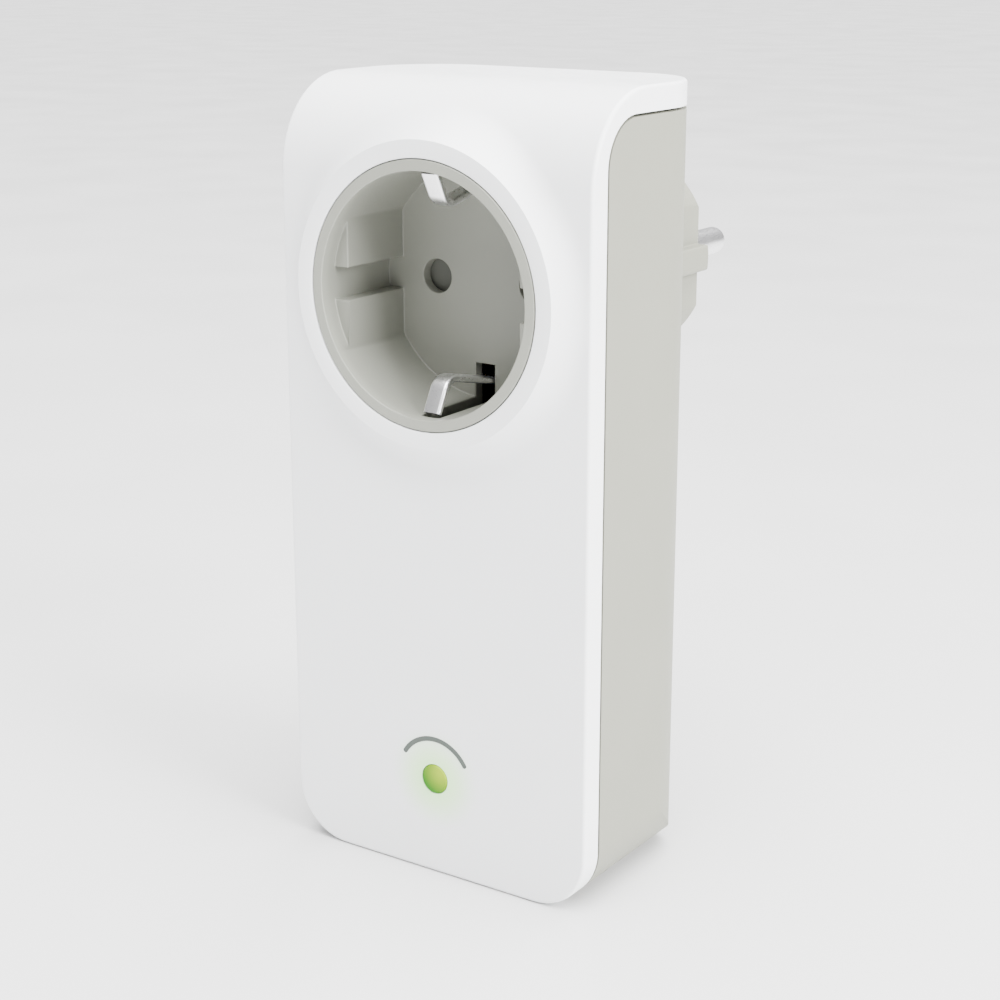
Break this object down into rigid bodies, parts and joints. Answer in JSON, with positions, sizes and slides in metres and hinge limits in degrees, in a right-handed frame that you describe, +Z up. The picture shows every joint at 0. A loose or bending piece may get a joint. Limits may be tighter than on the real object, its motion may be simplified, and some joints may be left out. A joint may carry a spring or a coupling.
{
  "type": "powerline adapter",
  "caption": "Tall wall-plug network adapter with an earthed pass-through socket in front, a lit status button, an earthed plug behind and a network jack in the base.",
  "frame": {"origin": "middle of the flat base, halfway between the flat front and back of the casing", "axes": "+Z up along the height, socket faces -Y, plug and pins point +Y, +X to the right seen from the front"},
  "size_m": [0.059, 0.0783, 0.131],
  "materials": {
    "white_shell": "smooth satin white, faint orange peel",
    "grey_shell": "fine spark-eroded texture, warm light grey",
    "grey_socket": "satin light grey thermoset",
    "dark_plastic": "moulded black",
    "spring_steel": "zinc-plated steel",
    "nickel": "nickel-plated brass, soft polish",
    "brass_strip": "stamped strip",
    "circuit_board": "green solder mask",
    "fuse_glass": "glass tube with metal caps",
    "blue_coat": "dipped epoxy",
    "yellow_case": "boxed film capacitor and bobbin tape",
    "ferrite": "sintered ferrite",
    "copper_wire": "enamelled winding wire",
    "chip_black": "moulded epoxy package",
    "capacitor_sleeve": "shrunk sleeve",
    "heatsink": "extruded fins",
    "gold_wire": "gold-flashed contact wire",
    "led_body": "clear lens",
    "label": "blank satin foil",
    "grey_print": "pad-printed ink",
    "lit_lens": "diffusing lens, lit green"
  },
  "bodies": {
    "casing": {"front_cover": "white_shell", "rear_housing": "grey_shell", "socket_insert": "grey_socket", "contact_block": "dark_plastic", "shutter_spring": "spring_steel", "plug_body": "grey_shell", "line_pin": "nickel", "neutral_pin": "nickel", "line_contact": "brass_strip", "neutral_contact": "brass_strip", "line_busbar": "brass_strip", "neutral_busbar": "brass_strip", "earth_strap": "nickel", "power_board": "circuit_board", "main_board": "circuit_board", "mains_fuse": "fuse_glass", "surge_varistor": "blue_coat", "suppression_capacitor": "yellow_case", "filter_choke_core": "ferrite", "filter_choke_windings": "copper_wire", "bridge_rectifier": "chip_black", "bulk_capacitors": "capacitor_sleeve", "output_capacitor": "capacitor_sleeve", "optocoupler": "chip_black", "transformer_core": "ferrite", "transformer_bobbin": "yellow_case", "board_link": "dark_plastic", "modem_chip": "chip_black", "chip_heatsink": "heatsink", "memory_chip": "chip_black", "crystal": "nickel", "coupling_transformer": "yellow_case", "ethernet_magnetics": "chip_black", "ethernet_jack": "dark_plastic", "jack_contacts": "gold_wire", "button_switch": "dark_plastic", "status_leds": "led_body", "light_shroud": "white_shell", "reset_switch": "dark_plastic", "housing_screws": "spring_steel", "board_screws": "spring_steel", "rating_label": "label", "status_mark": "grey_print"},
    "shutter": {"shutter": "grey_socket"},
    "earth_clip_upper": {"earth_clip_top": "nickel"},
    "earth_clip_lower": {"earth_clip_bottom": "nickel"},
    "status_key": {"status_button": "lit_lens", "button_plunger": "white_shell"},
    "reset_key": {"reset_button": "grey_shell", "reset_plunger": "dark_plastic"}
  },
  "joints": [
    {"name": "shutter_turn", "type": "hinge", "parent": "casing", "child": "shutter", "pos_m": [0, -0.0005, 0.0986], "axis": [0, 1, 0], "range_deg": [0, 42], "stiffness_Nm_per_rad": 0.002, "springref_deg": -5.73},
    {"name": "upper_clip_flex", "type": "hinge", "parent": "casing", "child": "earth_clip_upper", "pos_m": [0, 0.0016, 0.116], "axis": [-1, 0, 0], "range_deg": [0, 5], "stiffness_Nm_per_rad": 0.6, "springref_deg": -0.57},
    {"name": "lower_clip_flex", "type": "hinge", "parent": "casing", "child": "earth_clip_lower", "pos_m": [0, 0.0016, 0.0812], "axis": [1, 0, 0], "range_deg": [0, 5], "stiffness_Nm_per_rad": 0.6, "springref_deg": -0.57},
    {"name": "status_press", "type": "slide", "parent": "casing", "child": "status_key", "axis": [0, 1, 0], "range_m": [0, 0.0004], "stiffness_N_per_m": 2000, "springref_m": -0.0001},
    {"name": "reset_press", "type": "slide", "parent": "casing", "child": "reset_key", "axis": [0, 0, 1], "range_m": [0, 0.0003], "stiffness_N_per_m": 2000, "springref_m": -0.0001}
  ]
}
